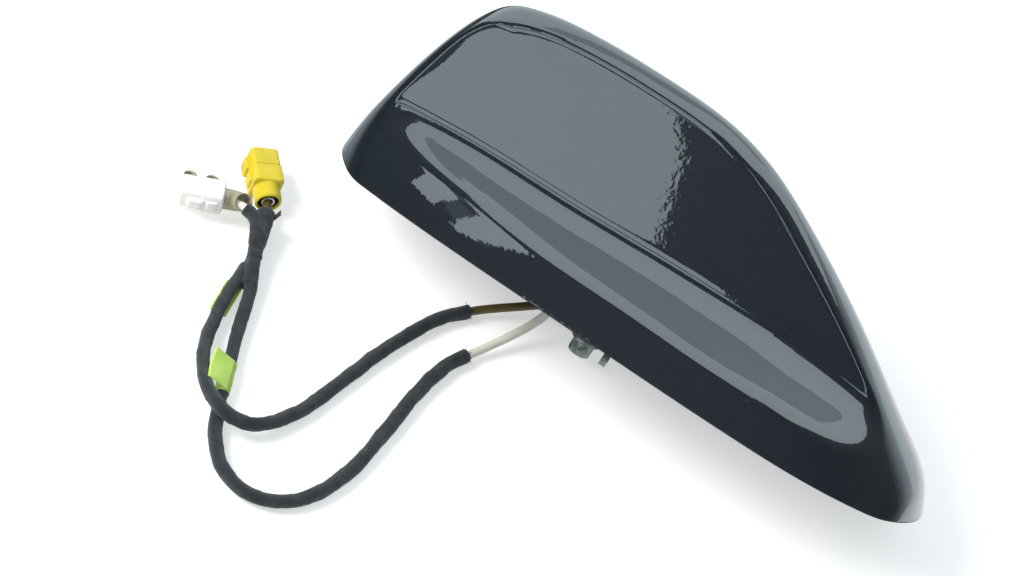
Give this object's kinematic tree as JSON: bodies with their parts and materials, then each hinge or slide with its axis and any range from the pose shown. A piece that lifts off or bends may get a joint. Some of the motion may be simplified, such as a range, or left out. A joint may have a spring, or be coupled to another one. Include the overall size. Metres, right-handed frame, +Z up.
{
  "type": "car antenna",
  "caption": "Gloss dark roof fin antenna lying on its side, with a roof clamp bolt below and two taped coaxial leads ending in coded square connectors.",
  "frame": {"origin": "on the table, at the middle of the lying fin seen from above, without its leads", "axes": "+X from the fin's tail to its nose, +Y away from the leads, +Z up; the fin lies on its bolt head and its far rim"},
  "size_m": [0.239, 0.1509, 0.0802],
  "materials": {
    "fin_paint": "gloss paint",
    "base_plastic": "moulded",
    "seal_rubber": "matte",
    "pad_foam": "closed-cell foam",
    "die_cast": "as cast",
    "zinc_steel": "zinc plated",
    "board_resin": "solder mask",
    "patch_ceramic": "matte",
    "tin_plate": "tinned",
    "contact_metal": "plated",
    "brown_jacket": "extruded",
    "cream_jacket": "extruded",
    "textile_tape": "woven",
    "green_tape": "fluorescent film",
    "yellow_plastic": "moulded",
    "white_plastic": "moulded"
  },
  "bodies": {
    "root": {"fin_cover": "fin_paint", "base_plate": "base_plastic", "rim_seal": "seal_rubber", "roof_pad": "pad_foam", "clamp_block": "die_cast", "clamp_bolt": "zinc_steel", "claw_clip": "zinc_steel", "lead_gland": "seal_rubber", "cover_screws": "zinc_steel", "board_screws": "zinc_steel", "circuit_board": "board_resin", "satellite_patch": "patch_ceramic", "patch_pin": "contact_metal", "shield_can": "tin_plate", "radio_carrier": "base_plastic", "radio_saddle": "tin_plate", "radio_coil": "contact_metal", "phone_element": "tin_plate", "brown_lead": "brown_jacket", "cream_lead": "cream_jacket", "brown_sleeve": "textile_tape", "cream_sleeve": "textile_tape", "bundle_sleeve": "textile_tape", "green_flag": "green_tape", "green_tab": "green_tape", "yellow_housing": "yellow_plastic", "yellow_lock": "yellow_plastic", "yellow_ferrule": "tin_plate", "yellow_contact": "contact_metal", "white_housing": "white_plastic", "white_lock": "white_plastic", "white_ferrule": "tin_plate", "white_contact": "contact_metal"}
  },
  "joints": []
}
